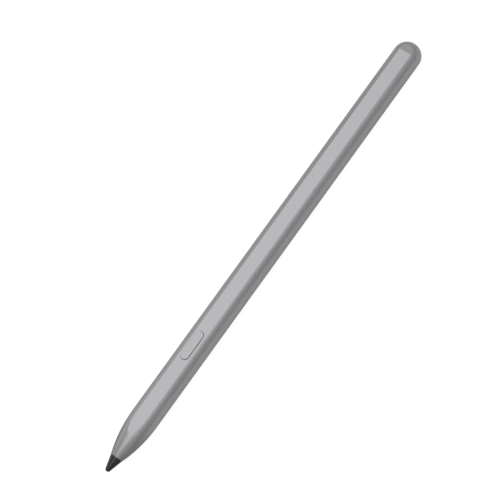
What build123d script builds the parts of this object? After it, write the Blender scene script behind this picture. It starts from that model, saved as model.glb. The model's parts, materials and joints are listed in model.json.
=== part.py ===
from build123d import *
import math
import os

# Stylus pen, in millimetres. X runs along the pen from the nib's tip, Z points out of the flat and
# the pen's axis is the line y = z = 0. Heights are from that axis. Pieces are set down last.

# Outside of the pen
overall_length = 143.5
barrel_radius = 4.0
flat_depth = 0.42  # how far the flat lies under the round
nose_length = 12.9  # curved taper, from the mouth to the full round
facet_angle = 9.5  # degrees that the end cap's facet slopes down from the flat

# Barrel moulding
wall = 0.8
flat_wall = 0.68
rim_wall = 0.07  # thin edge of the nose's mouth, nearly flush with the nib
shoulder_length = 0.9  # inner web that the stem passes through
core_taper = 6.9  # length of the inside's cone, from the shoulder to the full bore
seat_clearance = 0.1  # between the bore and what slides into it

# Nib
nib_exposed = 4.5
nib_radius = 1.72  # of the collar in the mouth
nib_tip_radius = 0.75
nib_clearance = 0.03
collar_length = 1.4
collar_spare = 0.5  # room behind the collar past the press
stem_radius = 0.5
stem_clearance = 0.02  # in the holder
stem_passage = 0.15  # round the stem in the shoulder, ferrite and housing
stem_chamfer = 0.15
nib_travel = 0.3

# Resonance coil
nose_cushion_length = 0.9
cushion_wall = 0.75
ferrite_length = 10.0
ferrite_radius = 1.75
coil_setback = 1.5  # bare ferrite ahead of the winding
coil_length = 5.4
coil_thickness = 0.45
coil_clearance = 0.02
lead_radius = 0.125
lead_sides = 4  # fine wire, drawn square
lead_bend = 0.4
lead_tail = 2.4  # length of each lead over the board

# Pressure sensor
ferrite_socket = 1.6  # depth of the ferrite's rear end in the housing
socket_clearance = 0.05
ferrite_cushion_length = 0.7
partition_length = 0.8
sensor_wall = 0.6
holder_length = 3.0  # tube ahead of the flange
holder_wall = 0.55
holder_gap = 0.2  # ahead of the tube
holder_clearance = 0.05
flange_length = 1.0
flange_step = 0.2  # height of the step that stops the flange
stem_end_web = 0.2  # from the stem's end to the flange
pad_radius = 1.2
pad_recess = 0.4
pad_length = 1.3
pad_skirt = 0.7  # straight part of the pad
pad_end_radius = 0.4
pad_gap = 0.05
ring_thickness = 0.2
ring_width = 0.6
disc_thickness = 0.5
plate_thickness = 0.2
stack_clearance = 0.03
plug_length = 2.1
tongue_length = 2.4
tongue_width = 2.0
tongue_thickness = 0.35
leg_width = 0.5
leg_thickness = 0.15
leg_offset = 1.65  # from the mid plane
leg_clearance = 0.06
leg_tail = 1.4  # length of each leg over the board

# Board and its carrier
board_top = -0.2
board_thickness = 0.8
board_lead = 5.5  # from the board's front edge to the button's middle
board_length = 36.0
board_gap = 0.05
carrier_side_wall = 0.75
carrier_block = 4.0  # solid rear end
clip_length = 2.0
clip_reach = 0.2
clip_height = 0.4
clip_gap = 0.03
clip_inset = 10.0  # from the board's ends to its clips
pocket_width = 2.4
pocket_pitch = 9.0
pocket_rib = 1.2
pocket_roof = 0.7
capacitor_size = (1.6, 0.8, 0.8)
capacitor_pitch = 3.2
capacitor_rows = 4
capacitor_offset = 1.1
capacitor_start = 4.5  # from the button's middle to the first capacitor

# Side button and its switch
button_x = 40.3
button_length = 8.8
button_width = 2.3
button_gap = 0.09
button_proud = 0.28  # over the flat
button_bevel = 0.08
button_travel = 0.25
ear_length = 0.7
ear_width = 1.6
ear_thickness = 0.5
ear_gap = 0.1
boss_radius = 0.8
switch_length = 3.4
switch_width = 2.8
switch_floor = 0.2
switch_cavity = 0.65
cavity_radius = 1.05
dome_thickness = 0.08
dome_height = 0.35
dome_clearance = 0.08
cover_thickness = 0.15
plunger_radius = 0.6
plunger_flange = 0.25
plunger_flange_thickness = 0.2
plunger_clearance = 0.05
plunger_gap = 0.02
plunger_proud = 0.5

# Docking magnets and their carrier
magnet_length = 12.0
magnet_width = 3.0
magnet_height = 1.5
magnet_gap = 0.05
relief_height = 0.6  # top of the carrier between the magnets
pocket_end_wall = 1.0
tenon_radius = 1.2
tenon_length = 2.5
tenon_clearance = 0.05

# End cap
end_cushion_length = 1.5
spigot_length = 6.0
spigot_clearance = 0.04
spigot_wall = 1.0
cap_hollow = 1.5  # how far the spigot's bore runs into the dome

# Heights and radii that follow
flat_height = barrel_radius - flat_depth
bore_radius = barrel_radius - wall
bore_flat = flat_height - flat_wall
mouth_bore = nib_radius + nib_clearance
mouth_radius = mouth_bore + rim_wall
nose_rise = barrel_radius - mouth_radius
nose_radius = (nose_length**2 + nose_rise**2) / (2 * nose_rise)
stem_hole = stem_radius + stem_passage
carrier_radius = bore_radius - seat_clearance
carrier_flat = bore_flat - seat_clearance
housing_radius = bore_flat - seat_clearance
stack_bore = housing_radius - sensor_wall
stack_radius = stack_bore - stack_clearance
flange_bore = stack_bore - flange_step
flange_radius = flange_bore - holder_clearance
holder_radius = stem_radius + holder_wall
coil_inner = ferrite_radius + coil_clearance
coil_outer = coil_inner + coil_thickness
board_bottom = board_top - board_thickness
trough_half = math.sqrt(carrier_radius**2 - board_top**2) - carrier_side_wall
board_half = trough_half - board_gap
lead_height = board_top + lead_radius
leg_height = board_top + leg_thickness / 2
groove_half = lead_radius + leg_clearance
lead_groove_y = housing_radius - groove_half
lead_start_y = (coil_inner + coil_outer) / 2
lead_end_y = board_half - 2 * lead_radius
dome_radius = cavity_radius - dome_clearance
cover_bottom = board_top + switch_floor + switch_cavity
cover_top = cover_bottom + cover_thickness
plunger_bottom = board_top + switch_floor + dome_height + plunger_gap
plunger_top = cover_top + plunger_proud
ear_top = bore_flat - ear_gap
ear_bottom = ear_top - ear_thickness
magnet_top = math.sqrt(carrier_radius**2 - (magnet_width / 2) ** 2)
magnet_bottom = magnet_top - magnet_height
spigot_radius = bore_radius - spigot_clearance

# Stations along the pen that follow
mouth_x = nib_exposed
cone_end_x = mouth_x - nib_travel  # the press takes the rest of the nib into the mouth
nose_end_x = mouth_x + nose_length
seam_x = overall_length - barrel_radius
collar_end_x = mouth_x + collar_length
shoulder_x = collar_end_x + nib_travel + collar_spare
cavity_x = shoulder_x + shoulder_length
ferrite_x = cavity_x + nose_cushion_length
ferrite_end_x = ferrite_x + ferrite_length
coil_x = ferrite_x + coil_setback
coil_end_x = coil_x + coil_length
housing_x = ferrite_end_x - ferrite_socket
socket_floor_x = ferrite_end_x + ferrite_cushion_length
guide_x = socket_floor_x + partition_length
holder_x = guide_x + holder_gap
flange_x = holder_x + holder_length
flange_end_x = flange_x + flange_length
stem_end_x = flange_x - stem_end_web
pad_x = flange_end_x - pad_recess
disc_x = pad_x + pad_length + pad_gap
ring_x = disc_x - ring_thickness
plate_x = disc_x + disc_thickness
plug_x = plate_x + plate_thickness
housing_end_x = plug_x + plug_length
board_x = button_x - board_lead
board_end_x = board_x + board_length
carrier_end_x = board_end_x + carrier_block
spigot_x = seam_x - spigot_length
end_cushion_x = spigot_x - end_cushion_length
magnet_spacing = (end_cushion_x - carrier_end_x - 2 * magnet_length) / 3
front_magnet_x = carrier_end_x + magnet_spacing
rear_magnet_x = front_magnet_x + magnet_length + magnet_spacing


def nose_surface(x):
    """Outer radius at x on the nose, whose outline is one arc that runs smoothly into the round."""
    across = math.sqrt(nose_radius**2 - (nose_end_x - x) ** 2)
    return barrel_radius - nose_radius + across


def barrel_outside():
    """The nose's arc and the full round up to the end cap, as a solid of revolution."""
    middle_x = (mouth_x + nose_end_x) / 2
    front = (mouth_x, mouth_radius)
    back = (nose_end_x, barrel_radius)
    arc = ThreePointArc(front, (middle_x, nose_surface(middle_x)), back)
    rest = Polyline(back, (seam_x, barrel_radius), (seam_x, 0), (mouth_x, 0), front)
    return revolve(make_face(Curve() + [arc, rest]), Axis.X)


def barrel_inside():
    """The bore and, towards the nose, the cone that it narrows in."""
    front = (cavity_x, nose_surface(cavity_x) - wall)
    taper_end_x = cavity_x + core_taper
    outline = Polyline(
        front,
        (taper_end_x, bore_radius),
        (seam_x, bore_radius),
        (seam_x, 0),
        (cavity_x, 0),
        front,
    )
    return revolve(make_face(outline), Axis.X) - above(cavity_x, seam_x, bore_flat)


def rod(start_x, end_x, radius):
    """Round bar on the pen's axis."""
    bar = Cylinder(radius, end_x - start_x, align=(Align.CENTER, Align.CENTER, Align.MIN))
    return Pos(start_x, 0, 0) * Rot(0, 90, 0) * bar


def block(x_range, y_range, z_range):
    """Box between three pairs of limits."""
    spans = (x_range, y_range, z_range)
    middle = [(low + high) / 2 for low, high in spans]
    return Pos(*middle) * Box(*[high - low for low, high in spans])


def above(start_x, end_x, height):
    """Everything over a height, as a cutter for the flats."""
    reach = 2 * barrel_radius
    return block((start_x, end_x), (-reach, reach), (height, height + reach))


def flatted_rod(start_x, end_x, radius, top):
    """Round bar with one flat, like the barrel's bore."""
    return rod(start_x, end_x, radius) - above(start_x, end_x, top)


def disc(height, thickness, radius, x=button_x):
    """Upright round disc that stands at a height on the mid plane."""
    return Pos(x, 0, height) * Cylinder(
        radius, thickness, align=(Align.CENTER, Align.CENTER, Align.MIN)
    )


def stadium(length, width, bottom, top):
    """Upright plate with full-round ends, centred on the button."""
    plate = extrude(SlotOverall(length, width), top - bottom)
    return Pos(button_x, 0, bottom) * plate


def barrel():
    slot_length = button_length + 2 * button_gap
    slot_width = button_width + 2 * button_gap
    shell = barrel_outside() - above(mouth_x, seam_x, flat_height)
    shell -= barrel_inside()
    shell -= rod(mouth_x, shoulder_x, mouth_bore)
    shell -= rod(shoulder_x, cavity_x, stem_hole)
    return shell - stadium(slot_length, slot_width, bore_flat, flat_height)


def end_cap():
    dome_top = (seam_x, barrel_radius)
    turn = math.radians(45)
    dome_middle = (seam_x + barrel_radius * math.sin(turn), barrel_radius * math.cos(turn))
    arc = ThreePointArc(dome_top, dome_middle, (overall_length, 0))
    base = Polyline((overall_length, 0), (seam_x, 0), dome_top)
    dome = revolve(make_face(Curve() + [arc, base]), Axis.X)
    reach = 4 * barrel_radius
    facet = Box(reach, reach, reach, align=(Align.CENTER, Align.CENTER, Align.MIN))
    dome -= Pos(seam_x, 0, flat_height) * Rot(0, facet_angle, 0) * facet
    spigot = flatted_rod(spigot_x, seam_x, spigot_radius, bore_flat - spigot_clearance)
    return dome + spigot - rod(spigot_x, seam_x + cap_hollow, spigot_radius - spigot_wall)


def nib():
    """Ball tip tangent to a cone, then the collar in the mouth and the long stem."""
    run = cone_end_x - nib_tip_radius
    slope = math.atan2(nib_radius, run) - math.asin(nib_tip_radius / math.hypot(run, nib_radius))

    def ball(angle):
        return (nib_tip_radius * (1 + math.cos(angle)), nib_tip_radius * math.sin(angle))

    meeting = math.pi / 2 + slope
    tip = ThreePointArc((0, 0), ball((math.pi + meeting) / 2), ball(meeting))
    rest = Polyline(
        ball(meeting),
        (cone_end_x, nib_radius),
        (collar_end_x, nib_radius),
        (collar_end_x, stem_radius),
        (stem_end_x - stem_chamfer, stem_radius),
        (stem_end_x, stem_radius - stem_chamfer),
        (stem_end_x, 0),
        (0, 0),
    )
    return revolve(make_face(Curve() + [tip, rest]), Axis.X)


def nose_cushion():
    ring = rod(cavity_x, ferrite_x, stem_hole + cushion_wall)
    return ring - rod(cavity_x, ferrite_x, stem_hole)


def ferrite_core():
    return rod(ferrite_x, ferrite_end_x, ferrite_radius) - rod(ferrite_x, ferrite_end_x, stem_hole)


def coil_winding():
    return rod(coil_x, coil_end_x, coil_outer) - rod(coil_x, coil_end_x, coil_inner)


def coil_leads():
    """Two wires from the coil's rear face, along the housing's grooves to the board."""
    rise = lead_groove_y - lead_start_y
    jog_x = housing_x - lead_bend
    drop_x = board_x
    drop = lead_groove_y - lead_end_y
    end_x = drop_x + drop + lead_tail
    leads = Part()
    for side in (1, -1):
        route = [
            (coil_end_x, lead_start_y),
            (jog_x - rise, lead_start_y),
            (jog_x, lead_groove_y),
            (drop_x, lead_groove_y),
            (drop_x + drop, lead_end_y),
            (end_x, lead_end_y),
        ]
        path = FilletPolyline(*[(x, side * y, lead_height) for x, y in route], radius=lead_bend)
        start = Plane(path @ 0, z_dir=path % 0)
        leads += sweep(start * RegularPolygon(lead_radius, lead_sides), path)
    return leads


def ferrite_cushion():
    ring = rod(ferrite_end_x, socket_floor_x, stem_hole + cushion_wall)
    return ring - rod(ferrite_end_x, socket_floor_x, stem_hole)


def sensor_housing():
    body = rod(housing_x, housing_end_x, housing_radius)
    body -= rod(housing_x, socket_floor_x, ferrite_radius + socket_clearance)
    body -= rod(socket_floor_x, guide_x, stem_hole)
    body -= rod(guide_x, flange_x, holder_radius + holder_clearance)
    body -= rod(flange_x, ring_x, flange_bore)
    body -= rod(ring_x, housing_end_x, stack_bore)
    for side in (1, -1):
        body -= lead_groove(side, lead_groove_y - groove_half, housing_x, housing_end_x)
    return body


def lead_groove(side, floor_y, start_x, end_x):
    """Cutter for the channel that a coil lead lies in, from a floor out to the housing's round."""
    edges = sorted((side * floor_y, side * housing_radius))
    heights = (lead_height - groove_half, lead_height + groove_half)
    return block((start_x, end_x), edges, heights)


def nib_holder():
    body = rod(holder_x, flange_x, holder_radius) + rod(flange_x, flange_end_x, flange_radius)
    body -= rod(holder_x, stem_end_x, stem_radius + stem_clearance)
    return body - rod(pad_x, flange_end_x, pad_radius + stack_clearance)


def pressure_pad():
    """Round pad with a blunt conical rear end, so that its contact spreads as it is pressed."""
    outline = Polyline(
        (pad_x, 0),
        (pad_x, pad_radius),
        (pad_x + pad_skirt, pad_radius),
        (pad_x + pad_length, pad_end_radius),
        (pad_x + pad_length, 0),
        (pad_x, 0),
    )
    return revolve(make_face(outline), Axis.X)


def leg_slot(side, start_x, end_x, clearance):
    """A terminal leg's section at one side, grown by a clearance."""
    half_width = leg_width / 2 + clearance
    half_height = leg_thickness / 2 + clearance
    middle = side * leg_offset
    return block(
        (start_x, end_x),
        (middle - half_width, middle + half_width),
        (leg_height - half_height, leg_height + half_height),
    )


def leg_notch(side, start_x, end_x):
    """Cutter that opens a stack piece's edge where the other terminal's leg passes."""
    edges = sorted((side * (leg_offset - leg_width / 2 - leg_clearance), side * barrel_radius))
    half = leg_thickness / 2 + leg_clearance
    return block((start_x, end_x), edges, (leg_height - half, leg_height + half))


def ring_terminal():
    ring = rod(ring_x, disc_x, stack_radius) - rod(ring_x, disc_x, stack_radius - ring_width)
    return ring + leg_slot(-1, ring_x, board_x + leg_tail, 0)


def dielectric_disc():
    return rod(disc_x, plate_x, stack_radius) - leg_notch(-1, disc_x, plate_x)


def disc_terminal():
    plate = rod(plate_x, plug_x, stack_radius) - leg_notch(-1, plate_x, plug_x)
    return plate + leg_slot(1, plate_x, board_x + leg_tail, 0)


def sensor_plug():
    body = rod(plug_x, housing_end_x, stack_radius)
    for side in (1, -1):
        body -= leg_notch(side, plug_x, housing_end_x)
    return body + block(
        (housing_end_x, housing_end_x + tongue_length),
        (-tongue_width / 2, tongue_width / 2),
        (board_bottom, board_bottom + tongue_thickness),
    )


def underside_pockets(start_x, end_x):
    """Row of lightening pockets from below, with a rib between each pair."""
    count = int((end_x - start_x - pocket_rib) // pocket_pitch)
    first_x = (start_x + end_x - count * pocket_pitch + pocket_rib) / 2
    pockets = Part()
    for number in range(count):
        x = first_x + number * pocket_pitch
        pockets += block(
            (x, x + pocket_pitch - pocket_rib),
            (-pocket_width / 2, pocket_width / 2),
            (-barrel_radius, board_bottom - pocket_roof),
        )
    return pockets


def board_carrier():
    body = flatted_rod(housing_end_x, carrier_end_x, carrier_radius, carrier_flat)
    trough_end_x = board_end_x + board_gap
    body -= block(
        (housing_end_x, trough_end_x), (-trough_half, trough_half), (board_bottom, barrel_radius)
    )
    body -= underside_pockets(housing_end_x, board_end_x)
    for side in (1, -1):
        body -= lead_groove(side, lead_end_y, housing_end_x, board_x + lead_tail)
        for clip_x in (board_x + clip_inset, board_end_x - clip_inset - clip_length):
            reach = sorted((side * (trough_half - clip_reach), side * trough_half))
            heights = (board_top + clip_gap, board_top + clip_gap + clip_height)
            body += block((clip_x, clip_x + clip_length), reach, heights)
    return body - rod(carrier_end_x - tenon_length, carrier_end_x, tenon_radius + tenon_clearance)


def circuit_board():
    return block((board_x, board_end_x), (-board_half, board_half), (board_bottom, board_top))


def chip_capacitors():
    length, width, height = capacitor_size
    chips = Part()
    for row in range(capacitor_rows):
        x = button_x + capacitor_start + row * capacitor_pitch
        for middle in (-capacitor_offset, capacitor_offset):
            sides = (middle - width / 2, middle + width / 2)
            chips += block((x, x + length), sides, (board_top, board_top + height))
    return chips


def side_button():
    cap = stadium(button_length, button_width, ear_bottom, flat_height + button_proud)
    rim = cap.faces().sort_by(Axis.Z)[-1].edges()
    cap = chamfer(rim, button_bevel)
    ear_span = button_length + 2 * button_gap + 2 * ear_length
    cap += block(
        (button_x - ear_span / 2, button_x + ear_span / 2),
        (-ear_width / 2, ear_width / 2),
        (ear_bottom, ear_top),
    )
    return cap + disc(plunger_top, ear_bottom - plunger_top, boss_radius)


def switch_plan(bottom, top):
    """The switch's rectangular outline, as a block."""
    half_length = switch_length / 2
    half_width = switch_width / 2
    return block(
        (button_x - half_length, button_x + half_length), (-half_width, half_width), (bottom, top)
    )


def switch_base():
    body = switch_plan(board_top, cover_bottom)
    return body - disc(board_top + switch_floor, switch_cavity, cavity_radius)


def dome_cap(rise):
    """Solid cap of a ball over the switch's floor, as high as rise."""
    ball = (dome_radius**2 + rise**2) / (2 * rise)
    floor = board_top + switch_floor
    cap = Pos(button_x, 0, floor + rise - ball) * Sphere(ball)
    reach = 4 * ball
    under = Box(reach, reach, reach, align=(Align.CENTER, Align.CENTER, Align.MAX))
    return cap - Pos(button_x, 0, floor) * under


def switch_dome():
    return dome_cap(dome_height) - dome_cap(dome_height - dome_thickness)


def switch_cover():
    plate = switch_plan(cover_bottom, cover_top)
    return plate - disc(cover_bottom, cover_thickness, plunger_radius + plunger_clearance)


def switch_plunger():
    flange = disc(plunger_bottom, plunger_flange_thickness, plunger_radius + plunger_flange)
    return flange + disc(plunger_bottom, plunger_top - plunger_bottom, plunger_radius)


def magnet(start_x, gap):
    """Bar magnet at a station, or with a gap the pocket that it sits in."""
    half = magnet_width / 2 + gap
    top = magnet_top if gap == 0 else barrel_radius
    return block((start_x - gap, start_x + magnet_length + gap), (-half, half), (magnet_bottom, top))


def magnet_carrier():
    body = flatted_rod(carrier_end_x, end_cushion_x, carrier_radius, carrier_flat)
    reliefs = (
        (carrier_end_x, front_magnet_x),
        (front_magnet_x + magnet_length, rear_magnet_x),
        (rear_magnet_x + magnet_length, end_cushion_x),
    )
    for start_x, end_x in reliefs:
        body -= above(start_x + pocket_end_wall, end_x - pocket_end_wall, relief_height)
    for start_x in (front_magnet_x, rear_magnet_x):
        body -= magnet(start_x, magnet_gap)
    body -= underside_pockets(carrier_end_x, end_cushion_x)
    return body + rod(carrier_end_x - tenon_length, carrier_end_x, tenon_radius)


def end_cushion():
    return flatted_rod(end_cushion_x, spigot_x, carrier_radius, carrier_flat)


pieces = {
    "barrel": barrel(),
    "end_cap": end_cap(),
    "nib": nib(),
    "side_button": side_button(),
    "nose_cushion": nose_cushion(),
    "ferrite_core": ferrite_core(),
    "coil_winding": coil_winding(),
    "coil_leads": coil_leads(),
    "ferrite_cushion": ferrite_cushion(),
    "sensor_housing": sensor_housing(),
    "nib_holder": nib_holder(),
    "pressure_pad": pressure_pad(),
    "ring_terminal": ring_terminal(),
    "dielectric_disc": dielectric_disc(),
    "disc_terminal": disc_terminal(),
    "sensor_plug": sensor_plug(),
    "board_carrier": board_carrier(),
    "circuit_board": circuit_board(),
    "chip_capacitors": chip_capacitors(),
    "switch_base": switch_base(),
    "switch_dome": switch_dome(),
    "switch_cover": switch_cover(),
    "switch_plunger": switch_plunger(),
    "magnet_carrier": magnet_carrier(),
    "front_magnet": magnet(front_magnet_x, 0),
    "rear_magnet": magnet(rear_magnet_x, 0),
    "end_cushion": end_cushion(),
}

# The pen lies on its round back with the flat up, middled along X.
laid_down = Pos(-overall_length / 2, 0, barrel_radius)

os.makedirs("parts", exist_ok=True)
for name, solid in pieces.items():
    export_step(laid_down * solid, f"parts/{name}.step")
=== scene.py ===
"""Looks of the stylus pen, in metres: the lacquered barrel with its end cap and side button, the
black nib, the pieces inside and a pale studio."""
import json
import math

import bmesh
import bpy
import numpy as np
from mathutils import Matrix, Vector


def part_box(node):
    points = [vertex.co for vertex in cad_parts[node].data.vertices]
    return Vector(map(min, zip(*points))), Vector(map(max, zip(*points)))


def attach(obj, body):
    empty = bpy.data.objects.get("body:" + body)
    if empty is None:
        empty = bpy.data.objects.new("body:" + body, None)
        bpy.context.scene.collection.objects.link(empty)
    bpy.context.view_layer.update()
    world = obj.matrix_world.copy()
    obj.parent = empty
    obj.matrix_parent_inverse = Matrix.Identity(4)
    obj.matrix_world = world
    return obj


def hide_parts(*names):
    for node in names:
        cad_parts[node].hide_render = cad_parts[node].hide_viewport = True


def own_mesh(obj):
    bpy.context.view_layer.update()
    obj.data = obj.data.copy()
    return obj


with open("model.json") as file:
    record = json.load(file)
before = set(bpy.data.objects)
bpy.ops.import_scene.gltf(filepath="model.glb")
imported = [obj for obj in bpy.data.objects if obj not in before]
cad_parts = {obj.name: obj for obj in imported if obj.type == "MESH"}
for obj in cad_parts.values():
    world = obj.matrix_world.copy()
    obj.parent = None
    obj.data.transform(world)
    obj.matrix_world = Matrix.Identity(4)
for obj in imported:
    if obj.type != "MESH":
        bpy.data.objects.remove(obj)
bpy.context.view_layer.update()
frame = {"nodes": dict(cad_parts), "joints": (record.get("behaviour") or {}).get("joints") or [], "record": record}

MM = 0.001

# Stations along the pen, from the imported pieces
TIP_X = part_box("nib")[0].x
STEM_END_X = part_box("nib")[1].x
MOUTH_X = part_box("barrel")[0].x
SEAM_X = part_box("barrel")[1].x
SPIGOT_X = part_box("end_cap")[0].x
BUTTON_X = (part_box("side_button")[0].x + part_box("side_button")[1].x) / 2
FLAT_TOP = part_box("barrel")[1].z
BUTTON_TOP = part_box("side_button")[1].z

# Outside of the barrel and its end cap
ROUND = 4.0 * MM
AXIS_Z = ROUND
FLAT = FLAT_TOP - AXIS_Z  # height of the flat over the axis
FLAT_EDGE = 0.05 * MM  # how far the flat's edges are rounded off
NOSE_LENGTH = 12.9 * MM
NOSE_MOUTH = 1.82 * MM
NOSE_END_X = MOUTH_X + NOSE_LENGTH
NOSE_RISE = ROUND - NOSE_MOUTH
NOSE_ARC = (NOSE_LENGTH**2 + NOSE_RISE**2) / (2 * NOSE_RISE)
FACET_SLOPE = math.radians(9.5)  # fall of the facet that carries the flat over the dome
SEAM_LIP = 0.015 * MM

# Inside of the barrel and its end cap
BORE = 3.2 * MM
BORE_FLAT = 2.9 * MM
MOUTH_BORE = 1.75 * MM
RIM = 0.035 * MM
SHOULDER_X = MOUTH_X + 2.2 * MM
CAVITY_X = SHOULDER_X + 0.9 * MM
CAVITY_FRONT = 1.92 * MM
TAPER = 6.9 * MM
STEM_HOLE = 0.65 * MM
SPIGOT = 3.16 * MM
SPIGOT_FLAT = 2.86 * MM
SPIGOT_BORE = 2.16 * MM
CAP_HOLLOW = 1.5 * MM

# Side button and its slot, whose ends are round about the two ends of one spine
SPINE = 3.25 * MM
BUTTON_ROUND = 1.215 * MM
BUTTON_EDGE = 0.08 * MM
BUTTON_TABLE = 0.95 * MM  # outline within which the key's top is one face
SLOT_ROUND = 1.24 * MM
SLOT_LIP = 0.06 * MM
WINDOW_HALF = 5.2 * MM  # half the length of the barrel's skin that is laid out round the slot
EAR_HALF = (5.25 * MM, 0.8 * MM)  # half their length and half their width
EAR_HEIGHTS = (2.3 * MM, 2.8 * MM)  # over the axis, as the boss's bottom is
BOSS_ROUND = 0.8 * MM
BOSS_BOTTOM = 1.3 * MM

# Nib
NIB_ROUND = 1.72 * MM
NIB_BALL = 0.75 * MM
NIB_SHOULDER = 0.12 * MM
NIB_TRAVEL = 0.3 * MM  # room ahead of the mouth for the nib to go back
COLLAR_END_X = MOUTH_X + 1.4 * MM
STEM_ROUND = 0.5 * MM
STEM_CHAMFER = 0.15 * MM

# Pieces inside
RING_SQUARENESS = 0.35  # power that squares off an oval: 1 leaves it as it is, 0 is a box
COIL_BORE = 1.77 * MM
COIL_TURNS = 36
PAD_EDGE = 0.1 * MM
PAD_SKIRT = 0.7 * MM
PAD_END = 0.4 * MM
PAD_POWER = 1.5
FOAM_FLAT = 2.8 * MM
FOAM_EDGE = 0.25 * MM
FOAM_CELL = 0.22 * MM
DOME_THICKNESS = 0.08 * MM
CHIP_LENGTH = 1.6 * MM
CHIP_PITCH = 3.2 * MM
CHIP_END = 0.3 * MM
TRACK_PITCH = 0.55 * MM

# Steps that curves and lengths are cut into
TURN_STEPS = 96
QUARTER_STEPS = 8
RIM_STEPS = 9
NOSE_STEPS = 53
NECK_STEPS = 5
WINDOW_STEPS = 53
BACK_STEPS = 12
SLOT_LIP_STEPS = 5
END_STEPS = 61
STADIUM_STEPS = 128
BALL_STEPS = 15
CONE_STEPS = 12
SHOULDER_STEPS = 6
RING_STEPS = 48
COIL_STEPS = 8  # for each turn of wire
PAD_STEPS = 17
DOME_STEPS = 25

TURN = np.linspace(0, 2 * np.pi, TURN_STEPS, endpoint=False)
QUARTER = np.linspace(0, np.pi / 2, QUARTER_STEPS)
SHARP_ANGLE = math.radians(32)
LEAST_FACING = 1e-3  # keeps a flat within reach where the skin turns away from it

# Columns of the skins: angles from the flat's middle, closest over the flat and its edges
FINE_STEP = 0.5
FINE_HALF = 30.0
COARSE_STEPS = 150
WINDOW_ANGLE = 24.5  # half of what the window round the slot takes
BORE_SPREAD = 0.17  # turns the bore's columns away from the flat, clear of the slot
COLUMNS = np.radians(
    np.concatenate(
        [
            np.arange(-FINE_HALF, FINE_HALF, FINE_STEP),
            np.linspace(FINE_HALF, 360 - FINE_HALF, COARSE_STEPS, endpoint=False),
        ]
    )
)


# Surfaces


def lesser(first, second, blend):
    """The lesser of two lengths, rounded off by up to blend / 4 where they come within blend."""
    near = np.clip(blend - np.abs(first - second), 0, None)
    return np.minimum(first, second) - near**2 / (4 * blend)


def flatted(angle, radius, flat):
    """Distance from the axis to a round with one flat.

    It is the lesser of the radius and the flat's height over the angle's cosine.
    """
    facing = np.clip(np.cos(angle), LEAST_FACING, None)
    return lesser(radius, flat / facing, FLAT_EDGE)


def nose_round(x):
    """Radius of the nose at x: one arc that runs tangent into the full round."""
    return ROUND - NOSE_ARC + np.sqrt(NOSE_ARC**2 - np.clip(NOSE_END_X - x, 0, None) ** 2)


def around(x, radius, angle):
    """Points at a distance from the pen's axis, at an angle from the flat's middle."""
    x, radius, angle = np.broadcast_arrays(x, radius, angle)
    return np.stack([x, radius * np.sin(angle), AXIS_Z + radius * np.cos(angle)], -1)


def strips(rings):
    """Quads between each row of vertex numbers and the next, closed along the rows."""
    here, after = rings[:-1], rings[1:]
    corners = (here, np.roll(here, -1, 1), np.roll(after, -1, 1), after)
    return np.stack(corners, -1)


def fan(pole, ring):
    """Triangles from one vertex number to a closed ring of them."""
    return np.stack([np.full_like(ring, pole), ring, np.roll(ring, -1)], -1)


def capped(rings, poles):
    """Vertices and faces of rings of points from one pole to the other."""
    points = np.concatenate([poles, rings.reshape(-1, 3)])
    numbers = 2 + np.arange(rings.shape[0] * rings.shape[1]).reshape(rings.shape[:2])
    faces = strips(numbers).reshape(-1, 4).tolist()
    return points, faces + fan(0, numbers[0]).tolist() + fan(1, numbers[-1]).tolist()


def turned(stations, radii, place=around):
    """A profile carried round an axis, which it starts and ends on."""
    rings = place(stations[1:-1, None], radii[1:-1, None], TURN)
    return capped(rings, place(stations[[0, -1]], 0.0, 0.0))


def hooped(stations, radii):
    """A closed profile carried round the pen's axis; its radii may change with the angle."""
    rings = around(stations[:, None], radii, TURN)
    numbers = np.arange(rings.shape[0] * rings.shape[1]).reshape(rings.shape[:2])
    closed = np.concatenate([numbers, numbers[:1]])
    return rings.reshape(-1, 3), strips(closed).reshape(-1, 4).tolist()


def upright(outlines, heights):
    """Vertices and faces of plan outlines set over each other at heights, between flat ends."""
    count = outlines.shape[1]
    levels = np.broadcast_to(np.asarray(heights)[:, None, None], outlines.shape[:2] + (1,))
    points = np.concatenate([outlines, levels], -1).reshape(-1, 3)
    numbers = np.arange(len(points)).reshape(-1, count)
    faces = strips(numbers).reshape(-1, 4).tolist()
    return points, faces + [numbers[0].tolist(), numbers[-1].tolist()]


def together(*shells):
    """Several shells' vertices and faces as one piece's."""
    points, faces, start = [], [], 0
    for shell_points, shell_faces in shells:
        points.append(shell_points)
        faces += [[start + number for number in face] for face in shell_faces]
        start += len(shell_points)
    return np.concatenate(points), faces


def make_piece(name, shape, body, node, finish=None):
    """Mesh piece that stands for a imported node: faces outwards, smooth but for sharp edges."""
    points, faces = shape
    mesh = bpy.data.meshes.new(name)
    mesh.from_pydata(points.tolist(), [], faces)
    skin = bmesh.new()
    skin.from_mesh(mesh)
    bmesh.ops.recalc_face_normals(skin, faces=skin.faces)
    skin.to_mesh(mesh)
    skin.free()
    mesh.shade_smooth()
    mesh.set_sharp_from_angle(angle=SHARP_ANGLE)
    mesh.materials.append(finish or FINISHES[SLOTS[node]])
    piece = bpy.data.objects.new(name, mesh)
    bpy.context.scene.collection.objects.link(piece)
    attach(piece, body)
    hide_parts(node)
    return piece


def travel(joint):
    """Length of a slide's range."""
    low, high = next(row["range_m"] for row in frame["joints"] if row["name"] == joint)
    return high - low


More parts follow.
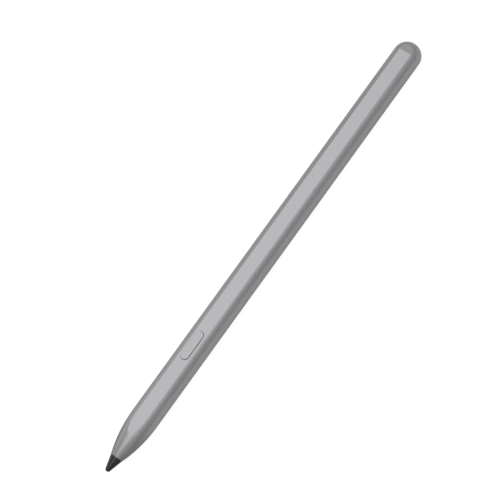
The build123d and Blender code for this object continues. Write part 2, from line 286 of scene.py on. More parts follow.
def barrel_rows():
    """Rows down the barrel, and which of them cross the window outside and in the bore.

    Each has a station, a radius, a flat's height and a spread of the columns. They go round the
    mouth's rim, down the nose and the outside to the seam, and back up the bore, its cone and the
    shoulder into the mouth, so that the last row meets the first.
    """
    turn = np.linspace(0, np.pi, RIM_STEPS)
    lip_round = nose_round(MOUTH_X + RIM)
    rim_x = MOUTH_X + RIM * (1 - np.sin(turn))
    rim_round = (MOUTH_BORE + lip_round - (lip_round - MOUTH_BORE) * np.cos(turn)) / 2
    window = BUTTON_X + WINDOW_HALF * np.linspace(-1, 1, WINDOW_STEPS)
    nose_x = np.linspace(MOUTH_X + RIM, NOSE_END_X, NOSE_STEPS)[1:]
    neck_x = np.linspace(NOSE_END_X, window[0], NECK_STEPS)[1:-1]
    back_x = np.linspace(window[-1], SEAM_X - SEAM_LIP, BACK_STEPS)[1:]
    outer_x = np.concatenate([rim_x, nose_x, neck_x, window, back_x, [SEAM_X]])
    outer_round = np.concatenate([rim_round, nose_round(outer_x[len(rim_x) :])])
    outer_flat = np.full_like(outer_x, FLAT)
    outer_round[-1] -= SEAM_LIP
    outer_flat[-1] -= SEAM_LIP
    bore_x = np.concatenate([[SEAM_X], window[::-1], [CAVITY_X + TAPER, CAVITY_X]])
    bore_round = np.full_like(bore_x, BORE)
    bore_round[-1] = CAVITY_FRONT
    front_x = np.array([CAVITY_X, SHOULDER_X, SHOULDER_X])
    front_round = np.array([STEM_HOLE, STEM_HOLE, MOUTH_BORE])
    rows = {
        "x": np.concatenate([outer_x, bore_x, front_x]),
        "round": np.concatenate([outer_round, bore_round, front_round]),
        "flat": np.concatenate([outer_flat, np.full(len(bore_x) + len(front_x), BORE_FLAT)]),
        "spread": np.zeros(len(outer_x) + len(bore_x) + len(front_x)),
    }
    rows["spread"][len(outer_x) : len(outer_x) + len(bore_x)] = BORE_SPREAD
    start = len(rim_x) + len(nose_x) + len(neck_x)
    outside = start + np.arange(len(window))
    inside = len(outer_x) + 1 + np.arange(len(window))[::-1]
    return rows, outside, inside


def window_loop(numbers, window_rows, first, last):
    """Vertex numbers once round the window, between two columns and over its rows."""
    block = numbers[window_rows][:, first : last + 1]
    return np.concatenate([block[0, :-1], block[:-1, -1], block[-1, :0:-1], block[:0:-1, 0]])


def slot_ring(directions, spine, radius, height):
    """Closed ring at a distance from the button's spine, at a height."""
    plan = spine + radius * directions
    return np.concatenate([plan, np.full((len(plan), 1), height)], -1)


def barrel_shape():
    """Closed skin of the barrel, with the button's slot let into the flat.

    Each row is the flatted round at its station. The slot's rings run from the window in the
    outside, over a rounded lip and down the wall, to the same window in the bore.
    """
    rows, outside, inside = barrel_rows()
    angle = COLUMNS + rows["spread"][:, None] * np.sin(COLUMNS)
    skin = around(
        rows["x"][:, None], flatted(angle, rows["round"][:, None], rows["flat"][:, None]), angle
    )
    numbers = np.arange(skin.shape[0] * skin.shape[1]).reshape(skin.shape[:2])
    quads = strips(np.concatenate([numbers, numbers[:1]]))
    first = round((FINE_HALF - WINDOW_ANGLE) / FINE_STEP)
    last = round((FINE_HALF + WINDOW_ANGLE) / FINE_STEP)
    keep = np.ones(quads.shape[:2], bool)
    keep[outside[0] : outside[-1], first:last] = False
    keep[inside[-1] : inside[0], first:last] = False

    edge = window_loop(numbers, outside, first, last)
    window = skin.reshape(-1, 3)[edge]
    centre = np.array([BUTTON_X, 0.0])
    spine = np.zeros((len(edge), 2))
    spine[:, 0] = np.clip(window[:, 0] - BUTTON_X, -SPINE, SPINE)
    directions = window[:, :2] - centre - spine
    directions /= np.linalg.norm(directions, axis=1)[:, None]
    spine = spine + centre
    lip = slot_ring(directions, spine, SLOT_ROUND + SLOT_LIP, FLAT_TOP)
    turns = np.linspace(0, np.pi / 2, SLOT_LIP_STEPS)[1:]
    rounded = [
        slot_ring(
            directions,
            spine,
            SLOT_ROUND + SLOT_LIP * (1 - np.sin(turn)),
            FLAT_TOP - SLOT_LIP * (1 - np.cos(turn)),
        )
        for turn in turns
    ]
    foot = slot_ring(directions, spine, SLOT_ROUND, AXIS_Z + BORE_FLAT)
    rings = np.stack([(window + lip) / 2, lip, *rounded, foot])
    ring_numbers = numbers.size + np.arange(rings.shape[0] * len(edge)).reshape(-1, len(edge))
    back = window_loop(numbers, inside, first, last)
    slot = strips(np.concatenate([edge[None], ring_numbers, back[None]]))
    points = np.concatenate([skin.reshape(-1, 3), rings.reshape(-1, 3)])
    return points, quads[keep].tolist() + slot.reshape(-1, 4).tolist()


def end_cap_shape():
    """Closed skin of the end cap.

    In each direction from the dome's middle the skin lies at the lesser of the dome's radius and
    the distance to the facet's plane, so the facet runs on from the barrel's flat. Ahead of the
    seam, inside the barrel, come the flatted spigot and its bore.
    """
    polar = np.radians(np.linspace(0, 90, END_STEPS))[1:, None]
    facing = math.sin(FACET_SLOPE) * np.cos(polar)
    facing = facing + math.cos(FACET_SLOPE) * np.sin(polar) * np.cos(COLUMNS)
    reach = FLAT * math.cos(FACET_SLOPE) / np.clip(facing, LEAST_FACING, None)
    distance = lesser(ROUND, reach, FLAT_EDGE)
    dome = around(SEAM_X + distance * np.cos(polar), distance * np.sin(polar), COLUMNS)
    lip = dome[-1] * [1, 0, 0] + around(0.0, distance[-1] - SEAM_LIP, COLUMNS)
    dome[-1, :, 0] += SEAM_LIP
    hollow_x = SEAM_X + CAP_HOLLOW
    stations = np.array([SEAM_X, SPIGOT_X, SPIGOT_X, hollow_x])
    radii = np.array([SPIGOT, SPIGOT, SPIGOT_BORE, SPIGOT_BORE])
    flats = np.array([SPIGOT_FLAT, SPIGOT_FLAT, SPIGOT, SPIGOT])
    inner = around(
        stations[:, None], flatted(COLUMNS, radii[:, None], flats[:, None]), COLUMNS
    )
    rings = np.concatenate([dome, lip[None], inner])
    end_distance = lesser(ROUND, FLAT / math.tan(FACET_SLOPE), FLAT_EDGE)
    poles = around(np.array([SEAM_X + end_distance, hollow_x]), 0.0, 0.0)
    return capped(rings, poles)


def stadium(radius, spine):
    """Plan outlines at distances from a spine: two half circles and the lines between."""
    turn = 2 * np.pi * (np.arange(STADIUM_STEPS) + 0.5) / STADIUM_STEPS
    ends = np.sign(np.cos(turn)) * spine
    reach = np.asarray(radius)[:, None]
    return np.stack([BUTTON_X + ends + reach * np.cos(turn), reach * np.sin(turn)], -1)


def side_button_shape():
    """Key with a rounded top edge, ears that keep it in the slot and a boss over the switch."""
    edge_heights = BUTTON_TOP - BUTTON_EDGE * (1 - np.sin(QUARTER))
    edge_radii = BUTTON_ROUND - BUTTON_EDGE * (1 - np.cos(QUARTER))
    heights = np.concatenate([[AXIS_Z + EAR_HEIGHTS[0]], edge_heights, [BUTTON_TOP]])
    radii = np.concatenate([[BUTTON_ROUND], edge_radii, [BUTTON_TABLE]])
    key = upright(stadium(radii, SPINE), heights)
    corners = np.array([(1, 1), (-1, 1), (-1, -1), (1, -1)]) * EAR_HALF + (BUTTON_X, 0.0)
    ears = upright(np.stack([corners, corners]), AXIS_Z + np.array(EAR_HEIGHTS))
    boss_heights = AXIS_Z + np.array([BOSS_BOTTOM, EAR_HEIGHTS[0]])
    boss = upright(stadium([BOSS_ROUND, BOSS_ROUND], 0.0), boss_heights)
    return together(key, ears, boss)


def nib_shape():
    """Ball tip tangent to a cone, a round shoulder ahead of the mouth, the collar and the stem."""
    cone_end = MOUTH_X - NIB_TRAVEL
    run = cone_end - TIP_X - NIB_BALL
    slope = math.atan2(NIB_ROUND, run) - math.asin(NIB_BALL / math.hypot(run, NIB_ROUND))
    ball = np.linspace(np.pi, np.pi / 2 + slope, BALL_STEPS)
    tip_x = TIP_X + NIB_BALL * (1 + np.cos(ball))
    tip_round = NIB_BALL * np.sin(ball)
    cone = np.linspace(0, 1, CONE_STEPS)[1:-1]
    shoulder_start = cone_end - NIB_SHOULDER
    shoulder_round = NIB_ROUND - NIB_SHOULDER * math.tan(slope)
    cone_x = tip_x[-1] + (shoulder_start - tip_x[-1]) * cone
    cone_round = tip_round[-1] + (shoulder_round - tip_round[-1]) * cone
    bend = np.linspace(0, 1, SHOULDER_STEPS)
    bend_x = shoulder_start + 2 * NIB_SHOULDER * bend
    bend_round = NIB_ROUND - NIB_SHOULDER * math.tan(slope) * (1 - bend) ** 2
    chamfer_x = STEM_END_X - STEM_CHAMFER
    stem_x = np.array([COLLAR_END_X, COLLAR_END_X, chamfer_x, STEM_END_X, STEM_END_X])
    stem_round = np.array([NIB_ROUND, STEM_ROUND, STEM_ROUND, STEM_ROUND - STEM_CHAMFER, 0])
    return turned(
        np.concatenate([tip_x, cone_x, bend_x, stem_x]),
        np.concatenate([tip_round, cone_round, bend_round, stem_round]),
    )


def cushion_ring_shape(node):
    """Rubber ring round the nib's stem: a squared-off oval section carried round the axis."""
    low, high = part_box(node)
    outer = (high.z - low.z) / 2
    turn = np.linspace(0, 2 * np.pi, RING_STEPS, endpoint=False)
    wave = np.stack([np.cos(turn), np.sin(turn)])
    wave = np.sign(wave) * np.abs(wave) ** RING_SQUARENESS
    stations = (low.x + high.x) / 2 + (high.x - low.x) / 2 * wave[0]
    radii = (outer + STEM_HOLE) / 2 + (outer - STEM_HOLE) / 2 * wave[1]
    return hooped(stations, radii[:, None])


def coil_shape():
    """Close turns of wire: an outside of half circles that climb by one pitch in each turn."""
    low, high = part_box("coil_winding")
    outer = (high.z - low.z) / 2
    stations = np.linspace(low.x, high.x, COIL_STEPS * COIL_TURNS + 1)
    pitch = (high.x - low.x) / COIL_TURNS
    across = 2 * np.mod((stations[:, None] - low.x) / pitch - TURN / (2 * np.pi), 1.0) - 1
    radii = outer - pitch / 2 * (1 - np.sqrt(1 - across**2))
    bore = np.full((2, len(TURN)), COIL_BORE)
    return hooped(np.concatenate([stations, [high.x, low.x]]), np.concatenate([radii, bore]))


def pressure_pad_shape():
    """Rubber pad: a straight skirt, then a dome whose radius falls by a power of the distance."""
    low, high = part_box("pressure_pad")
    outer = (high.z - low.z) / 2
    dome = np.linspace(0, 1, PAD_STEPS)
    skirt_end = low.x + PAD_SKIRT
    edge_x = low.x + PAD_EDGE * (1 - np.cos(QUARTER))
    edge_round = outer - PAD_EDGE * (1 - np.sin(QUARTER))
    dome_x = skirt_end + (high.x - skirt_end) * dome
    dome_round = outer - (outer - PAD_END) * dome**PAD_POWER
    return turned(
        np.concatenate([[low.x], edge_x, dome_x, [high.x]]),
        np.concatenate([[0.0], edge_round, dome_round, [0.0]]),
    )


def foam_disc_shape():
    """Flatted disc with rounded edges, from the middle of one face to the middle of the other."""
    low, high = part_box("end_cushion")
    outer = AXIS_Z - low.z
    step = FOAM_EDGE * (1 - np.cos(QUARTER))
    inset = FOAM_EDGE * (1 - np.sin(QUARTER))
    stations = np.concatenate([low.x + step, high.x - step[::-1]])[:, None]
    insets = np.concatenate([inset, inset[::-1]])[:, None]
    rings = around(stations, flatted(COLUMNS, outer - insets, FOAM_FLAT - insets), COLUMNS)
    return capped(rings, around(np.array([low.x, high.x]), 0.0, 0.0))


def over_switch(height, radius, angle):
    """Points at a height, at a distance from the upright line through the button's middle."""
    height, radius, angle = np.broadcast_arrays(height, radius, angle)
    return np.stack([BUTTON_X + radius * np.cos(angle), radius * np.sin(angle), height], -1)


def ball_cap(radius, rise, reach):
    """Height over its rim of a cap of a ball, at distances from its middle."""
    ball = (radius**2 + rise**2) / (2 * rise)
    return rise - ball + np.sqrt(ball**2 - reach**2)


def snap_dome_shape():
    """Sheet dome: one cap of a ball over another, which meet at the rim."""
    low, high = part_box("switch_dome")
    radius = (high.x - low.x) / 2
    rise = high.z - low.z
    out = radius * np.linspace(0, 1, DOME_STEPS)
    back = out[-2::-1]
    outside = ball_cap(radius, rise, out)
    inside = ball_cap(radius, rise - DOME_THICKNESS, back)
    heights = low.z + np.concatenate([outside, inside])
    return turned(heights, np.concatenate([out, back]), over_switch)


# Finishes


class Wire:
    """A shader socket that takes part in Python sums; each operation adds its Math node."""

    def __init__(self, tree, socket=None):
        self.tree = tree
        self.socket = socket

    def node(self, kind, settings=None, inputs=None, output=0):
        """Adds a node with its settings, then its inputs by name or number; gives one output."""
        made = self.tree.nodes.new(kind)
        for key, value in (settings or {}).items():
            setattr(made, key, value)
        for key, value in (inputs or {}).items():
            if isinstance(value, Wire):
                self.tree.links.new(value.socket, made.inputs[key])
            else:
                made.inputs[key].default_value = value
        return Wire(self.tree, made.outputs[output])

    def math(self, operation, first, second=0.0):
        """Adds a Math node; an operation on one value leaves the second out."""
        return self.node("ShaderNodeMath", {"operation": operation}, {0: first, 1: second})

    def __add__(self, other):
        return self.math("ADD", self, other)

    __radd__ = __add__

    def __sub__(self, other):
        return self.math("SUBTRACT", self, other)

    def __rsub__(self, other):
        return self.math("SUBTRACT", other, self)

    def __mul__(self, other):
        return self.math("MULTIPLY", self, other)

    __rmul__ = __mul__

    def __truediv__(self, other):
        return self.math("DIVIDE", self, other)

    def __rtruediv__(self, other):
        return self.math("DIVIDE", other, self)


def grey(level, tint=(1.0, 1.0, 1.0)):
    """Colour with its alpha, from a level and a tint."""
    return tuple(level * part for part in tint) + (1.0,)


def new_finish(name, constants):
    """New material: its wire into the node tree, its Object coordinates and its shader's node."""
    material = bpy.data.materials.new(name)
    material.use_nodes = True
    tree = material.node_tree
    shader = tree.nodes["Principled BSDF"]
    for key, value in constants.items():
        shader.inputs[key].default_value = value
    wire = Wire(tree)
    place = wire.node("ShaderNodeTexCoord", output="Object")
    return material, wire, place, shader


def grain(wire, place, size, detail=2.0, stretch=(1.0, 1.0, 1.0)):
    """Noise value with features of about a size, drawn out along the axes by stretch."""
    scaled = wire.node(
        "ShaderNodeMapping",
        inputs={"Vector": place, "Scale": tuple(1 / (size * part) for part in stretch)},
    )
    return wire.node(
        "ShaderNodeTexNoise", inputs={"Vector": scaled, "Scale": 1.0, "Detail": detail}
    )


def between(wire, factor, low, high):
    """Colour that goes from low to high with a factor."""
    return wire.node(
        "ShaderNodeMix",
        {"data_type": "RGBA"},
        {"Factor": factor, 6: low, 7: high},
        output=2,
    )


def feed(wire, shader, **links):
    """Joins wires to the shader's sockets; a bump takes a pair of height and depth."""
    for key, value in links.items():
        if key == "Bump":
            height, depth = value
            value = wire.node("ShaderNodeBump", inputs={"Distance": depth, "Height": height})
            key = "Normal"
        wire.tree.links.new(value.socket, shader.inputs[key.replace("_", " ")])


LACQUER_TINT = (1.005, 1.0, 1.03)


def satin_lacquer():
    """Pale grey metallic lacquer: fine flake, a slightly uneven tone and an orange-peel skin."""
    material, wire, place, shader = new_finish(
        "satin_lacquer", {"Metallic": 0.95, "Specular Tint": grey(0.80)}
    )
    flake = grain(wire, place, 0.12 * MM, 1.0)
    drift = grain(wire, place, 9 * MM)
    peel = grain(wire, place, 0.7 * MM)
    tone = flake * 0.35 + drift * 0.65
    colour = between(wire, tone, grey(0.310, LACQUER_TINT), grey(0.344, LACQUER_TINT))
    roughness = 0.35 + drift * 0.03 + flake * 0.02
    feed(wire, shader, Base_Color=colour, Roughness=roughness, Bump=(peel, 0.004 * MM))
    return material


def nib_polymer():
    """Black low-friction polymer: fine turning rings under a smooth skin."""
    material, wire, place, shader = new_finish("nib_polymer", {"Specular IOR Level": 0.55})
    rings = grain(wire, place, 0.05 * MM, 1.0, (1.0, 40.0, 40.0))
    mottle = grain(wire, place, 0.5 * MM)
    colour = between(wire, mottle, grey(0.001), grey(0.003, (1.0, 1.0, 0.97)))
    roughness = 0.10 + mottle * 0.03 + rings * 0.02
    feed(wire, shader, Base_Color=colour, Roughness=roughness, Bump=(rings, 0.0005 * MM))
    return material


def soft_rubber():
    """Dark grey silicone with a pale bloom and a fine moulded grain."""
    material, wire, place, shader = new_finish("soft_rubber", {"Specular IOR Level": 0.3})
    bloom = grain(wire, place, 0.6 * MM)
    tooth = grain(wire, place, 0.06 * MM, 1.0)
    colour = between(wire, bloom, grey(0.06), grey(0.10, (1.0, 0.99, 0.97)))
    feed(wire, shader, Base_Color=colour, Roughness=0.7 + tooth * 0.2, Bump=(tooth, 0.006 * MM))
    return material


def cell_foam():
    """Closed-cell foam: rounded cells with darker walls between them."""
    material, wire, place, shader = new_finish("cell_foam", {"Specular IOR Level": 0.2})
    cells = wire.node(
        "ShaderNodeTexVoronoi", inputs={"Vector": place, "Scale": 1 / FOAM_CELL}, output="Distance"
    )
    cloud = grain(wire, place, 1.5 * MM)
    colour = between(wire, cells * 0.8 + cloud * 0.2, grey(0.11), grey(0.05))
    roughness = 0.85 + cells * 0.1
    feed(wire, shader, Base_Color=colour, Roughness=roughness, Bump=(1 - cells, 0.06 * MM))
    return material


def carbon_rubber():
    """Conductive rubber, near black, with small smoother specks of its carbon filling, whose paler colour is a
    painted glint.
    """
    material, wire, place, shader = new_finish("carbon_rubber", {"Specular IOR Level": 0.35})
    filling = grain(wire, place, 0.05 * MM, 1.0)
    speck_and_glint = wire.node(
        "ShaderNodeMapRange", inputs={"Value": filling, "From Min": 0.62, "From Max": 0.72}
    )
    # painted glint: the specks' paler colour stands in for their shine; their lower roughness is real
    colour = between(wire, speck_and_glint, grey(0.014), grey(0.05))
    roughness = 0.75 - speck_and_glint * 0.3
    feed(wire, shader, Base_Color=colour, Roughness=roughness, Bump=(filling, 0.005 * MM))
    return material


def sensor_resin():
    """Black glass-filled resin: fibre streaks that run along the pen."""
    material, wire, place, shader = new_finish("sensor_resin", {})
    streak = grain(wire, place, 0.08 * MM, 2.0, (12.0, 1.0, 1.0))
    cloud = grain(wire, place, 1.2 * MM)
    colour = between(wire, streak * 0.6 + cloud * 0.4, grey(0.028), grey(0.056, (1.0, 1.0, 1.05)))
    roughness = 0.42 + streak * 0.2
    feed(wire, shader, Base_Color=colour, Roughness=roughness, Bump=(streak, 0.004 * MM))
    return material


def carrier_resin():
    """Dark grey carrier resin with a spark-eroded skin."""
    material, wire, place, shader = new_finish("carrier_resin", {})
    pits = grain(wire, place, 0.09 * MM, 3.0)
    cloud = grain(wire, place, 5 * MM)
    colour = between(wire, cloud * 0.7 + pits * 0.3, grey(0.085), grey(0.118, (1.0, 1.0, 1.04)))
    feed(wire, shader, Base_Color=colour, Roughness=0.52 + pits * 0.2, Bump=(pits, 0.012 * MM))
    return material


def sintered_ferrite():
    """Charcoal ferrite: a dull pressed skin with open pores."""
    material, wire, place, shader = new_finish("sintered_ferrite", {"Specular IOR Level": 0.6})
    crystal = grain(wire, place, 0.12 * MM, 3.0)
    pore = wire.node(
        "ShaderNodeMapRange", inputs={"Value": crystal, "From Min": 0.36, "From Max": 0.44}
    )
    colour = between(wire, pore, grey(0.022), grey(0.055, (1.0, 1.0, 1.06)))
    feed(wire, shader, Base_Color=colour, Roughness=0.8 - pore * 0.25, Bump=(pore, 0.01 * MM))
    return material


def enamelled_copper():
    """Copper under clear enamel: its tone drifts from turn to turn."""
    material, wire, place, shader = new_finish(
        "enamelled_copper", {"Metallic": 1.0, "Coat Weight": 0.7, "Coat Roughness": 0.12}
    )
    turn_tone = grain(wire, place, 0.15 * MM, 1.0, (1.0, 25.0, 25.0))
    drawn = grain(wire, place, 0.04 * MM, 1.0)
    colour = between(wire, turn_tone, (0.50, 0.19, 0.08, 1.0), (0.72, 0.32, 0.15, 1.0))
    feed(wire, shader, Base_Color=colour, Roughness=0.24 + drawn * 0.14, Bump=(drawn, 0.003 * MM))
    return material


def rolled_steel():
    """Stainless strip: rolling lines along the pen and a faint straw tint."""
    material, wire, place, shader = new_finish("rolled_steel", {"Metallic": 1.0})
    line = grain(wire, place, 0.02 * MM, 2.0, (40.0, 1.0, 1.0))
    cloud = grain(wire, place, 0.9 * MM)
    tone = line * 0.5 + cloud * 0.5
    colour = between(wire, tone, (0.52, 0.51, 0.48, 1.0), (0.68, 0.66, 0.62, 1.0))
    feed(wire, shader, Base_Color=colour, Roughness=0.24 + line * 0.2, Bump=(line, 0.002 * MM))
    return material


def fired_ceramic():
    """Ivory ceramic: a faint cloud and a ground, slightly grainy face."""
    material, wire, place, shader = new_finish("fired_ceramic", {})
    cloud = grain(wire, place, 0.8 * MM)
    ground = grain(wire, place, 0.05 * MM, 1.0)
    colour = between(wire, cloud, (0.70, 0.67, 0.60, 1.0), (0.80, 0.78, 0.72, 1.0))
    feed(wire, shader, Base_Color=colour, Roughness=0.3 + ground * 0.2, Bump=(ground, 0.003 * MM))
    return material


def solder_mask():
    """Green mask over the board: paler where it covers copper tracks that run along the pen."""
    material, wire, place, shader = new_finish(
        "solder_mask", {"Coat Weight": 0.3, "Coat Roughness": 0.2}
    )
    across = wire.node("ShaderNodeSeparateXYZ", inputs={0: place}, output="Y")
    lane = wire.math("ABSOLUTE", wire.math("FRACT", across / TRACK_PITCH) - 0.5)
    broken = grain(wire, place, 2.2 * MM, 0.0, (2.0, 1.0, 1.0))
    track = wire.math("LESS_THAN", lane, 0.22) * wire.math("GREATER_THAN", broken, 0.45)
    weave = grain(wire, place, 0.1 * MM, 1.0)
    colour = between(wire, track, (0.012, 0.11, 0.045, 1.0), (0.035, 0.21, 0.085, 1.0))
    roughness = 0.36 + weave * 0.12
    relief = track + weave * 0.1
    feed(wire, shader, Base_Color=colour, Roughness=roughness, Bump=(relief, 0.03 * MM))
    return material


def chip_ceramic():
    """Tan ceramic chips with tinned ends; the chips repeat along the pen at one pitch."""
    material, wire, place, shader = new_finish("chip_ceramic", {})
    along = wire.node("ShaderNodeSeparateXYZ", inputs={0: place}, output="X")
    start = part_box("chip_capacitors")[0].x
    step = wire.math("FRACT", (along - start) / CHIP_PITCH) * CHIP_PITCH
    reach = wire.math("ABSOLUTE", step - CHIP_LENGTH / 2)
    tinned = wire.math("GREATER_THAN", reach, CHIP_LENGTH / 2 - CHIP_END)
    mottle = grain(wire, place, 0.15 * MM, 2.0)
    body = between(wire, mottle, (0.30, 0.19, 0.10, 1.0), (0.42, 0.29, 0.17, 1.0))
    tin = between(wire, mottle, grey(0.55), grey(0.68, (1.0, 0.99, 0.96)))
    colour = between(wire, tinned, body, tin)
    roughness = 0.45 - tinned * 0.12 + mottle * 0.1
    feed(
        wire,
        shader,
        Base_Color=colour,
        Metallic=tinned,
        Roughness=roughness,
        Bump=(mottle, 0.01 * MM),
    )
    return material


def nickel_plate():
    """Bright nickel over a ground magnet: soft waviness and fine grinding lines across it."""
    material, wire, place, shader = new_finish("nickel_plate", {"Metallic": 1.0})
    line = grain(wire, place, 0.03 * MM, 2.0, (1.0, 30.0, 1.0))
    wave = grain(wire, place, 1.0 * MM)
    colour = between(wire, wave, (0.54, 0.53, 0.50, 1.0), (0.63, 0.62, 0.60, 1.0))
    roughness = 0.14 + line * 0.1 + wave * 0.06
    relief = wave + line * 0.2
    feed(wire, shader, Base_Color=colour, Roughness=roughness, Bump=(relief, 0.004 * MM))
    return material


# Studio

SOFTBOX_PLACE = (0.065, -0.05, 0.6)
SOFTBOX_SIZE = (0.64, 1.17)
SOFTBOX_RADIANCE = 1.09
NOSE_LAMP_PLACE = (-0.36, -0.02, 0.58)
NOSE_LAMP_SIZE = (0.26, 0.26)
NOSE_LAMP_RADIANCE = 1.2
CARD_PLACE = (-0.16, 0.6, 0.175)
CARD_SIZE = (0.44, 0.35)
CARD_RADIANCE = 0.50
AIR_DARK = 0.08  # light from the horizon at -Y, on the camera's side
AIR_PALE = 0.76  # light from the horizon at +Y
AIR_HIGH = 0.66  # light from overhead
AIR_TOP = 0.26  # height in the sky, as a sine, from which it is all as bright as overhead
FLOOR_HALF = 3.0
FLOOR_OWN = 0.92  # the floor's own white for the camera, which keeps its shadows faint
FLOOR_LIT = 0.12  # grey that is lit and shaded over that white
FLOOR_GREY = 0.8  # grey of the floor as it lights the pen
FLOOR_MIRRORED = 0.06  # share of the camera's white in reflections, the rest being that grey
FLOOR_PAINTED_SHADE = 0.46  # painted shade in reflections: how much darker they show the floor beside and beyond the nib, standing in for shadow there
FLOOR_PAINTED_SHADE_X = (-0.066, -0.055)  # stations between which that painted shade fades out
CAMERA_LENS = 174.64
CAMERA_LEAN = math.radians(7.791)  # the pen's rear end leans away from the camera
CAMERA_SIDE = math.radians(20.588)  # the flat faces past the camera's left
CAMERA_ROLL = math.radians(35.926)
PEN_IN_VIEW = Vector((3.555, -1.305, -654.82)) * MM  # the pen's middle, from the camera


def flat_lamp(name, shape, place, size, radiance, turn=0.0):
    """Flat lamp that faces down until it is turned about X; a mirror shows it at its radiance."""
    lamp = bpy.data.lights.new(name, "AREA")
    lamp.shape = shape
    lamp.size, lamp.size_y = size
    filled = math.pi / 4 if shape == "ELLIPSE" else 1.0
    lamp.energy = radiance * math.pi * filled * lamp.size * lamp.size_y
    holder = bpy.data.objects.new(name, lamp)
    holder.location = place
    holder.rotation_euler.x = turn
    bpy.context.scene.collection.objects.link(holder)


def pale_floor():
    """White floor for the camera, mostly of its own white, with the lit and shaded rest over it.

    It lights the pen as a plain grey floor, and reflections show it so too, but for a small share
    of the white, and with painted shade beside and beyond the nib that stands in for shadow there.
    """
    corners = np.array([(-1, -1, 0), (1, -1, 0), (1, 1, 0), (-1, 1, 0)]) * FLOOR_HALF
    mesh = bpy.data.meshes.new("floor")
    mesh.from_pydata(corners.tolist(), [], [(0, 1, 2, 3)])
    material = bpy.data.materials.new("pale_floor")
    material.use_nodes = True
    tree = material.node_tree
    tree.nodes.remove(tree.nodes["Principled BSDF"])
    wire = Wire(tree)
    rays = "ShaderNodeLightPath"
    mirrored = wire.node(rays, output="Is Glossy Ray")
    place = wire.node("ShaderNodeTexCoord", output="Object")
    along = wire.node("ShaderNodeSeparateXYZ", inputs={0: place}, output="X")
    # painted shade: the share of the floor that reflections show, lower beside and beyond the nib to stand in for
    # shadow there
    painted_shade_keep = wire.node(
        "ShaderNodeMapRange",
        {"interpolation_type": "SMOOTHSTEP"},
        {
            "Value": along,
            "From Min": FLOOR_PAINTED_SHADE_X[0],
            "From Max": FLOOR_PAINTED_SHADE_X[1],
            "To Min": 1 - FLOOR_PAINTED_SHADE,
        },
    )
    seen = wire.node(rays, output="Is Camera Ray") + wire.node(rays, output="Is Transmission Ray")
    seen = seen + FLOOR_MIRRORED * mirrored * painted_shade_keep
    own = wire.node("ShaderNodeEmission", inputs={"Strength": FLOOR_OWN})
    lit = wire.node("ShaderNodeBsdfDiffuse", inputs={"Color": grey(FLOOR_LIT)})
    white = wire.node("ShaderNodeAddShader", inputs={0: own, 1: lit})
    # the floor's grey in reflections, darkened near the nib by that painted shade
    painted_shade_grey = between(wire, mirrored * (1 - painted_shade_keep), grey(FLOOR_GREY), grey(0.0))
    plain = wire.node("ShaderNodeBsdfDiffuse", inputs={"Color": painted_shade_grey})
    mixed = wire.node("ShaderNodeMixShader", inputs={0: seen, 1: plain, 2: white})
    tree.links.new(mixed.socket, tree.nodes["Material Output"].inputs["Surface"])
    mesh.materials.append(material)
    floor = bpy.data.objects.new("floor", mesh)
    bpy.context.scene.collection.objects.link(floor)


def studio_air():
    """Grey light from all round, from dark to pale along the horizon and even overhead."""
    world = bpy.data.worlds.new("studio")
    world.use_nodes = True
    wire = Wire(world.node_tree)
    ray = wire.node("ShaderNodeTexCoord", output="Generated")
    across = wire.node("ShaderNodeSeparateXYZ", inputs={0: ray}, output="Y")
    height = wire.node("ShaderNodeSeparateXYZ", inputs={0: ray}, output="Z")
    horizon = AIR_DARK + (AIR_PALE - AIR_DARK) * (across * 0.5 + 0.5)
    level = wire.node(
        "ShaderNodeMapRange",
        inputs={"Value": height, "From Max": AIR_TOP, "To Min": horizon, "To Max": AIR_HIGH},
    )
    background = world.node_tree.nodes["Background"]
    world.node_tree.links.new(level.socket, background.inputs["Strength"])
    background.inputs["Color"].default_value = grey(1.0)
    bpy.context.scene.world = world


def photo_camera():
    """Camera that sees the pen's middle at PEN_IN_VIEW, turned by the three angles."""
    camera = bpy.data.objects.new("camera", bpy.data.cameras.new("camera"))
    camera.data.lens = CAMERA_LENS
    pen_turned = (
        Matrix.Rotation(-CAMERA_ROLL, 3, "Z")
        @ Matrix.Rotation(-CAMERA_LEAN, 3, "X")
        @ Matrix.Rotation(-CAMERA_SIDE, 3, "Y")
        @ Matrix.Rotation(math.pi / 2, 3, "Z")
    )
    turn = pen_turned.transposed()
    place = Vector((0, 0, AXIS_Z)) - turn @ PEN_IN_VIEW
    camera.matrix_world = Matrix.Translation(place) @ turn.to_4x4()
    bpy.context.scene.collection.objects.link(camera)
    bpy.context.scene.camera = camera


# Assembly

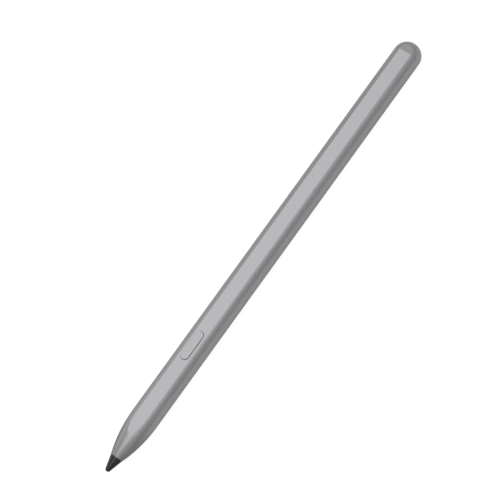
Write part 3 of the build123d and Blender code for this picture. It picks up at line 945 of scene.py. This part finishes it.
FINISHES = {
    "barrel_plastic": satin_lacquer(),
    "nib_plastic": nib_polymer(),
    "ferrite": sintered_ferrite(),
    "copper": enamelled_copper(),
    "cushion_rubber": soft_rubber(),
    "conductive_rubber": carbon_rubber(),
    "sensor_plastic": sensor_resin(),
    "spring_steel": rolled_steel(),
    "dielectric_ceramic": fired_ceramic(),
    "carrier_plastic": carrier_resin(),
    "board_laminate": solder_mask(),
    "capacitor_ceramic": chip_ceramic(),
    "magnet_plating": nickel_plate(),
}
SLOTS = {part["node"]: part["material_slot"] for part in frame["record"]["subparts"]}
for node, slot in SLOTS.items():
    for holder in frame["nodes"][node].material_slots:
        holder.material = FINISHES[slot]

make_piece("barrel_shell", barrel_shape(), "barrel", "barrel")
make_piece("domed_cap", end_cap_shape(), "barrel", "end_cap")
make_piece("proud_button", side_button_shape(), "button", "side_button")
make_piece("pen_nib", nib_shape(), "nib", "nib")
make_piece("front_ring", cushion_ring_shape("nose_cushion"), "barrel", "nose_cushion")
make_piece("rear_ring", cushion_ring_shape("ferrite_cushion"), "barrel", "ferrite_cushion")
make_piece("wound_coil", coil_shape(), "barrel", "coil_winding")
foam = make_piece("foam_disc", foam_disc_shape(), "barrel", "end_cushion", cell_foam())

pad = make_piece("sensor_pad", pressure_pad_shape(), "holder", "pressure_pad")
pad_low, pad_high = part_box("pressure_pad")
pad_keep = 1 - travel("nib_press") / (pad_high.x - pad_low.x)
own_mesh(pad)

dome = make_piece("snap_dome", snap_dome_shape(), "barrel", "switch_dome")
dome_low, dome_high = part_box("switch_dome")
dome_keep = 1 - travel("plunger_press") / (dome_high.z - dome_low.z)
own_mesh(dome)

photo_camera()
pale_floor()
studio_air()
flat_lamp("softbox", "ELLIPSE", SOFTBOX_PLACE, SOFTBOX_SIZE, SOFTBOX_RADIANCE)
flat_lamp("nose_lamp", "ELLIPSE", NOSE_LAMP_PLACE, NOSE_LAMP_SIZE, NOSE_LAMP_RADIANCE)
flat_lamp("side_card", "RECTANGLE", CARD_PLACE, CARD_SIZE, CARD_RADIANCE, -math.pi / 2)
bpy.context.scene.view_settings.view_transform = "Standard"
